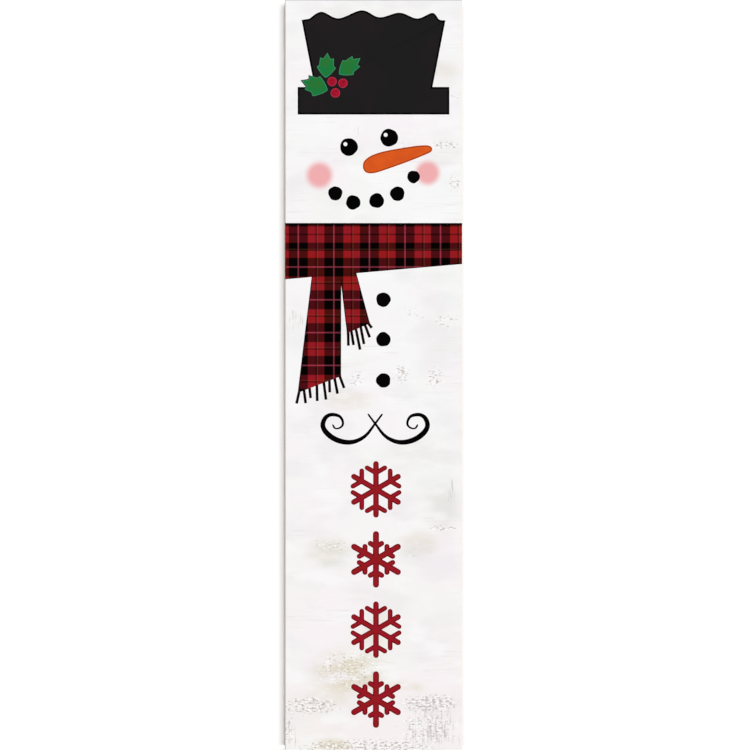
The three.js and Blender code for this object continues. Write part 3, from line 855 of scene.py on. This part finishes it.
def line_widths(name):
    """The width of line that each side of a scarf film shows. It is below 0 over the fringe."""
    outline = scarf_outlines[name]
    middles = side_middles(outline)
    others = np.concatenate([side_middles(o) for n, o in scarf_outlines.items() if n != name])
    gap = np.linalg.norm(middles[:, None] - others[None], axis=2).min(axis=1)
    along = np.abs(np.roll(outline, -1, axis=0) - outline)
    level = along[:, 1] < 0.7 * along[:, 0]
    width = np.where(level & (middles[:, 1] > outline[:, 1].max() - 1), TOP_LINE, SIDE_LINE)
    if name != scarf_nodes[0]:
        width[level & (middles[:, 1] < outline[:, 1].mean())] = OVER_FRINGE
    width[(gap < 0.05) | (np.abs(np.abs(middles[:, 0]) - EDGE) < 0.1)] = 0
    return width


for name in scarf_nodes:
    nodes = [name] + (["print_scarf_checks"] if name == scarf_nodes[0] else [])
    widths = line_widths(name)
    outline = inset(scarf_outlines[name], np.minimum(widths, 0))
    film(name.replace("print_", "") + "_ink", PLAID, nodes, [(1.0, OUTLINE)],
         outline=outline, drawn=np.maximum(widths, 0), lift=0.1)
    print(name, "widths of line:", sorted(set(widths.tolist())))


# %% [markdown]
# ## Pieces with a section carried along a path
#
# Strips of wood, wire and folded strap are all one section carried along a path. The path
# lies in a plane, so one direction, across that plane, never changes. The other direction of
# the section is square to both it and the path.

# %% Sweep helper
def rounded_rectangle(width, depth, radius, steps=4):
    """Corner arcs of a rectangle about the origin, as (a, b) points in anticlockwise order."""
    turn = np.linspace(0, np.pi / 2, steps + 1)
    arc = radius * np.stack([np.cos(turn), np.sin(turn)], -1)
    inner = np.array([width / 2 - radius, depth / 2 - radius])
    quarter = [(1, 1), (-1, 1), (-1, -1), (1, -1)]
    spun = [arc, arc[::-1] * (-1, 1), arc * (-1, -1), arc[::-1] * (1, -1)]
    return np.concatenate([s + inner * q for s, q in zip(spun, quarter)])


def circle(radius, count=20):
    """Points round the origin: (cos, sin) of even steps of a turn, times the radius."""
    turn = 2 * np.pi * np.arange(count) / count
    return radius * np.stack([np.cos(turn), np.sin(turn)], -1)


def sweep(path, section, across, closed=False, scale=None):
    """Points and faces of a section carried along a path.

    A point is the path's point, plus the section's first number along across, plus its second
    along the direction square to across and to the path. scale shrinks the section there.
    """
    ahead = np.roll(path, -1, axis=0) - np.roll(path, 1, axis=0)
    if not closed:
        ahead[0], ahead[-1] = path[1] - path[0], path[-1] - path[-2]
    across = np.asarray(across, float)
    square = np.cross(ahead, across)
    square /= np.linalg.norm(square, axis=1)[:, None]
    size = np.ones((len(path), 2)) if scale is None else np.asarray(scale, float)
    a = section[None, :, 0, None] * size[:, None, 0, None]
    b = section[None, :, 1, None] * size[:, None, 1, None]
    points = path[:, None] + a * across + b * square[:, None]
    rows, count = len(path), len(section)
    faces = list(grid_faces(rows, count))
    if closed:
        ring = np.arange(count)
        last = (rows - 1) * count
        faces += list(np.stack([
            last + ring, last + (ring + 1) % count, (ring + 1) % count, ring], -1))
    else:
        faces += end_faces(rows, count)
    return points.reshape(-1, 3), faces


print("a rounded section has", len(rounded_rectangle(22, 20, 1)), "points")


# %% [markdown]
# ## Panel and pine frame
#
# The panel and the six strips keep the CAD sizes. What a planed strip has and a CAD box
# hasn't is a broken arris: each long edge is sanded to about a millimetre round, and each
# end is eased the same way.

# %% Panel and strips
def straight_piece(node_name, name, material, along, arris):
    """A bar that fills a CAD node's box, with its long edges rounded and its ends eased."""
    low, high = span(node_name)
    size, middle = high - low, (low + high) / 2
    side = 2 - along
    section = rounded_rectangle(size[side], size[1], arris)
    stations = np.array([low[along], low[along] + arris, high[along] - arris, high[along]])
    path = np.repeat(middle[None], 4, axis=0)
    path[:, along] = stations
    eased = [(1 - 2 * arris / size[side], 1 - 2 * arris / size[1])]
    scale = eased + [(1, 1)] * 2 + eased
    points, faces = sweep(path, section, np.eye(3)[side], scale=scale)
    return make_piece(name, points, faces, material, [node_name], smooth=False)


straight_piece("face_panel", "face_panel_fibreboard", FIBREBOARD, 2, 0.25)
for name in ("left_stile", "right_stile"):
    straight_piece(name, name + "_pine", PINE_UP, 2, 0.9)
for name in ("bottom_rail", "lower_brace", "upper_brace", "top_rail"):
    straight_piece(name, name + "_pine", PINE_ACROSS, 0, 0.9)


# %% [markdown]
# ## Staples
#
# Each butt joint has one wide crown staple, driven until its crown is nearly flush. The wire
# is flattened, and it bends into its legs with a small radius.

# %% Staples
BEND = 1.1


def staple(node_name):
    """One leg and a quarter turn, and the same again mirrored, joined by the flat crown."""
    low, high = span(node_name)
    middle = (low + high) / 2
    wire = high[2] - low[2]
    half = (high[0] - low[0] - wire) / 2
    top = high[1] - wire / 2
    turn = np.linspace(0, np.pi / 2, 6)
    corner = BEND * np.stack([1 - np.cos(turn), np.sin(turn) - 1], -1)
    left = np.concatenate([[[-half, low[1]]], corner + (-half, top)])
    flat = np.concatenate([left, left[::-1] * (-1, 1)])
    path = np.column_stack([flat[:, 0] + middle[0], flat[:, 1], np.full(len(flat), middle[2])])
    section = rounded_rectangle(wire, wire * 0.8, 0.3, 3)
    points, faces = sweep(path, section, (0, 0, 1))
    return make_piece(node_name + "_wire", points, faces, ZINC, [node_name])


for name in sorted(n for n in body_of if n.startswith("staple_")):
    staple(name)
print("staples:", sum(n.startswith("staple_") for n in body_of))


# %% [markdown]
# ## Ring hangers
#
# A hanger is three pieces. The strap is a strip of steel with a round end, rolled at the top
# into an eye. The ring is wire bent to a D, and swings in the eye. A pan-head screw with a
# cross recess holds the strap to the stile.

# %% Straps
STRIP = 1.25            # thickness of the strap
ROLLED = 278            # degrees that it goes round the bar
END_STEPS = 12


def strap(node_name, ring_name):
    """A strip with a round end, carried up the stile and round the bar of the ring."""
    low, high = span(node_name)
    ring_low, ring_high = span(ring_name)
    x = (low[0] + high[0]) / 2
    wire = (ring_high[1] - ring_low[1]) / 2
    axis_y, axis_z = (ring_low[1] + ring_high[1]) / 2, ring_high[2] - wire
    radius = high[1] - axis_y - STRIP / 2
    end = (high[0] - low[0]) / 2
    turn = np.radians(np.linspace(0, ROLLED, 44))
    rolled = np.stack([axis_y - radius * np.cos(turn), axis_z + radius * np.sin(turn)], -1)
    rounding = end * (1 - np.cos(np.linspace(0, np.pi / 2, END_STEPS)))
    flat_z = np.r_[low[2] + rounding, np.linspace(low[2] + 1.3 * end, axis_z - 1, 4)]
    flat = np.stack([np.full(len(flat_z), axis_y - radius), flat_z], -1)
    line = np.concatenate([flat, rolled])
    path = np.column_stack([np.full(len(line), x), line])
    widths = np.ones(len(line))
    widths[:END_STEPS] = np.sqrt(np.clip(1 - (1 - rounding / end) ** 2, 0.02, 1))
    section = rounded_rectangle(high[0] - low[0], STRIP, 0.25, 3)
    scale = np.stack([widths, np.ones(len(line))], -1)
    points, faces = sweep(path, section, (1, 0, 0), scale=scale)
    print(node_name, "is rolled round a bar", round(2 * wire, 2), "mm thick")
    return make_piece(node_name + "_steel", points, faces, ZINC, [node_name])


for word in ("left", "right"):
    strap(f"hanger_strap_{word}", f"hanger_ring_{word}")


# %% Rings
BAR_BEND = 2.5          # radius of the two corners beside the bar


def ring(node_name):
    """A D of wire: a straight bar, two tight corners, two short sides and a half circle."""
    low, high = span(node_name)
    wire = (high[1] - low[1]) / 2
    half = (high[0] - low[0]) / 2 - wire
    bar = high[2] - wire
    side = high[2] - low[2] - 2 * wire - half
    sharp = np.linspace(np.pi / 2, 0, 9)
    bow = np.linspace(0, -np.pi, 41)
    right = np.stack([half - BAR_BEND + BAR_BEND * np.cos(sharp),
                      BAR_BEND * np.sin(sharp) - BAR_BEND], -1)
    below = np.stack([half * np.cos(bow), -side + half * np.sin(bow)], -1)
    flat = np.concatenate([[[0, 0]], right, below, right[::-1] * (-1, 1)])
    path = np.column_stack([flat[:, 0] + (low[0] + high[0]) / 2,
                            np.full(len(flat), (low[1] + high[1]) / 2), flat[:, 1] + bar])
    points, faces = sweep(path, circle(wire), (0, 1, 0), closed=True)
    print(node_name, "is", round(2 * (half + wire), 1), "mm wide outside")
    return make_piece(node_name + "_wire", points, faces, ZINC, [node_name])


for word in ("left", "right"):
    ring(f"hanger_ring_{word}")


# %% [markdown]
# ## Turned pieces
#
# A screw and a pad are both round, so each is a profile turned about an axis that points out
# of the board's back. The thread and the cross recess are then added by moving the turned
# points: the thread is a groove that sinks the shank in a helix, and the recess sinks the head
# where either arm of the cross passes.

# %% Turned surfaces
def turned(profile, middle, count):
    """Points, faces and angles of a profile of (radius, y) turned about Y through middle."""
    turn = 2 * np.pi * np.arange(count) / count
    r, y = profile[:, 0, None], profile[:, 1, None]
    points = np.stack(np.broadcast_arrays(
        middle[0] + r * np.cos(turn), y, middle[2] - r * np.sin(turn)), -1)
    grid = len(profile), count
    faces = [face[::-1] for face in (*grid_faces(*grid), *end_faces(*grid))]
    return points, faces, turn


# %% Screws
HEAD_DEEP, DOME_DEEP = 2.0, 1.1
SHANK, PITCH, GROOVE = 1.7, 1.35, 0.38          # GROOVE is its depth as a part of SHANK
RECESS, ARM_HALF, ARM_LONG = 0.95, 0.42, 1.9    # the cross: depth, and each arm's half sizes


def screw(node_name):
    """A pan-head screw: dome, helix thread and cross recess as changes to a turned profile."""
    low, high = span(node_name)
    middle = (low + high) / 2
    seat = high[1] - HEAD_DEEP
    head = (high[0] - low[0]) / 2
    down = np.linspace(low[1], seat, 90)
    body = np.stack([SHANK * np.clip((down - low[1]) / 2 + 0.02, 0, 1), down], -1)
    lip = np.array([[head * 0.97, seat], [head, seat + 0.15], [head, seat + 0.8]])
    r = np.linspace(1, 0.004, 26)[1:]
    dome = np.stack([head * r, seat + 0.9 + DOME_DEEP * np.sqrt(1 - r ** 2)], -1)
    grid, faces, turn = turned(np.concatenate([body, lip, dome]), middle, 72)
    shank, top = grid[:len(body)], grid[len(body) + len(lip):]

    wave = (shank[:, :, 1] / PITCH + turn / (2 * np.pi)) % 1
    depth = GROOVE * np.abs(2 * wave - 1)[:, :, None]
    radial = (shank - middle) * (1, 0, 1)
    shank -= radial * depth * (shank[:, :, 1:2] < seat - 0.6)
    a, b = np.abs(top[:, :, 0] - middle[0]), np.abs(top[:, :, 2] - middle[2])
    arm = ((a < ARM_HALF) & (b < ARM_LONG)) | ((b < ARM_HALF) & (a < ARM_LONG))
    top[:, :, 1] -= RECESS * arm * np.clip(1.35 - np.hypot(a, b) / 2.4, 0, 1)
    return make_piece(node_name + "_steel", grid.reshape(-1, 3), faces, ZINC, [node_name])


# %% Pads
FLAT_TOP = 4.6


def pad(node_name):
    """A rubber pad: a low cylinder with a rounded shoulder and a very slightly dished top."""
    low, high = span(node_name)
    radius = (high[0] - low[0]) / 2
    edge = radius - FLAT_TOP
    turn = np.linspace(0, np.pi / 2, 12)
    wall = [[radius - 0.2, low[1]], [radius, low[1] + 0.2], [radius, high[1] - edge]]
    shoulder = np.stack([
        FLAT_TOP + edge * np.cos(turn), high[1] - edge + edge * np.sin(turn)], -1)
    dish = np.array([[4.2, high[1]], [3.4, high[1] - 0.12], [0.02, high[1] - 0.18]])
    points, faces, _ = turned(
        np.concatenate([wall, shoulder[1:], dish]), (low + high) / 2, 64)
    return make_piece(node_name + "_rubber", points.reshape(-1, 3), faces, RUBBER, [node_name])


for word in ("left", "right"):
    screw(f"hanger_screw_{word}")
    for place in ("bottom", "top"):
        pad(f"pad_{place}_{word}")


# %% [markdown]
# ## Eye glints
#
# The white glint of each eye is the hole in its CAD film. It gets a small film of white ink
# that stands a hair above the black one, so the two never share a surface.

# %% Glints
for place in ("left", "right"):
    hole = outlines(f"print_eye_{place}")[1][::-1]
    film(f"eye_glint_{place}_ink", GLINT, [f"print_eye_{place}"], [(0.3, OUTLINE)],
         outline=hole, lift=0.04, cuts=1)
    print(f"{place} glint {np.ptp(hole[:, 0]):.1f} mm wide")


# %% [markdown]
# ## Floor and wall
#
# The board stands on a pale floor with its pads against a pale wall, and its shadow falls on
# the wall beside it. Only a camera in front sees the wall. From behind, and for light that
# passes or bounces, it is clear, so it never hides or shades the board's back.

# %% Stage
def plane(name, corners, material):
    mesh = bpy.data.meshes.new(name)
    mesh.from_pydata(corners, [], [(0, 1, 2, 3)])
    mesh.materials.append(material)
    made = add_object(name, mesh)
    return made


def studio_white(name, glow):
    """A white studio surface with a little glow of its own, so that it reads as plain white."""
    return new_material(name, {
        "Base Color": "#fbfbfb", "Roughness": 0.9, "Specular IOR Level": 0.0,
        "Emission Color": "#ffffff", "Emission Strength": glow})


WALL_Y = span("pad_top_left")[1][1] * MM
REACH = 5.0
floor = plane("studio_floor", [(-REACH, -REACH, 0), (REACH, -REACH, 0),
                               (REACH, REACH, 0), (-REACH, REACH, 0)],
              studio_white("studio_floor_white", 0.5)[0])
wall_white, tree, shader = studio_white("studio_wall_white", 0.02)
seen = node(tree, "LightPath", out="Is Camera Ray")
behind = node(tree, "NewGeometry", out="Backfacing")
solid = node(tree, "Math.MAXIMUM", node(tree, "Math.SUBTRACT", seen, behind), 0.0)
show = node(tree, "MixShader", solid, node(tree, "BsdfTransparent"), shader.outputs[0])
feed(tree, tree.nodes["Material Output"], {"Surface": show})
plane("studio_wall", [(-REACH, WALL_Y, -0.5), (REACH, WALL_Y, -0.5),
                      (REACH, WALL_Y, REACH), (-REACH, WALL_Y, REACH)], wall_white)
print("from the front of the sheet to the wall:", WALL_Y / MM - sheet_low[1], "mm")

# %% [markdown]
# ## Soft frontal light
#
# Three lamps light the board from in front, and each is a sun, because only its direction
# matters. The wide one, a little to the right, gives the long soft shadow down the left side.
# A small one, nearly in line with the camera, gives the thin dark line where that shadow
# starts. A weak one from the left gives the faint shadow on the right. The world fills in the
# rest: it is bright above and behind the board, and dim behind the camera, as photographers
# keep it, so that the flat print doesn't mirror it and its blacks stay black. For the same
# reason the lamps don't show in reflections, and the floor neither shows in them, nor throws
# light up on the board, nor shades it.

# %% Light
SKY_IN_FRONT, SKY_BEHIND = 0.08, 0.65
MORE_FROM_ABOVE = 2.0       # times as bright overhead
RAISED = 2.0                # degrees that the lamps stand above level
# name, degrees to the right of the camera, size of its disc in degrees, strength
LAMPS = [("wide_lamp", 12.0, 21.0, 1.80),
         ("small_lamp", 5.3, 2.5, 0.55),
         ("left_lamp", -8.5, 13.0, 0.70)]

world = bpy.data.worlds.new("studio_white")
world.use_nodes = True
tree = world.node_tree
direction = node(tree, "TexCoord", out="Generated")
towards, up = [node(tree, "SeparateXYZ", direction, out=k) for k in (1, 2)]
level = node(tree, "MapRange", towards, -0.15, 0.25, To_Min=SKY_IN_FRONT, To_Max=SKY_BEHIND)
above = node(tree, "MapRange", up, 0.3, 0.9, To_Min=1.0, To_Max=MORE_FROM_ABOVE)
glow = node(tree, "Math.MULTIPLY", level, above)
rays = node(tree, "LightPath", out="Is Camera Ray")
feed(tree, tree.nodes["Background"], {
    "Color": "#ffffff", "Strength": node(tree, "Mix", rays, None, glow, 1.0)})
bpy.context.scene.world = world

for name, aside, disc, strength in LAMPS:
    lamp_data = bpy.data.lights.new(name, "SUN")
    lamp_data.energy = strength
    lamp_data.angle = math.radians(disc)
    lamp = add_object(name, lamp_data)
    lamp.rotation_euler = (math.radians(90 - RAISED), 0, math.radians(aside))
    lamp.visible_glossy = False
floor.visible_glossy = False
floor.visible_diffuse = False
floor.visible_shadow = False

bpy.context.scene.view_settings.view_transform = "Standard"
print("sky", SKY_IN_FRONT, "to", SKY_BEHIND, "lamps", sum(l[3] for l in LAMPS))
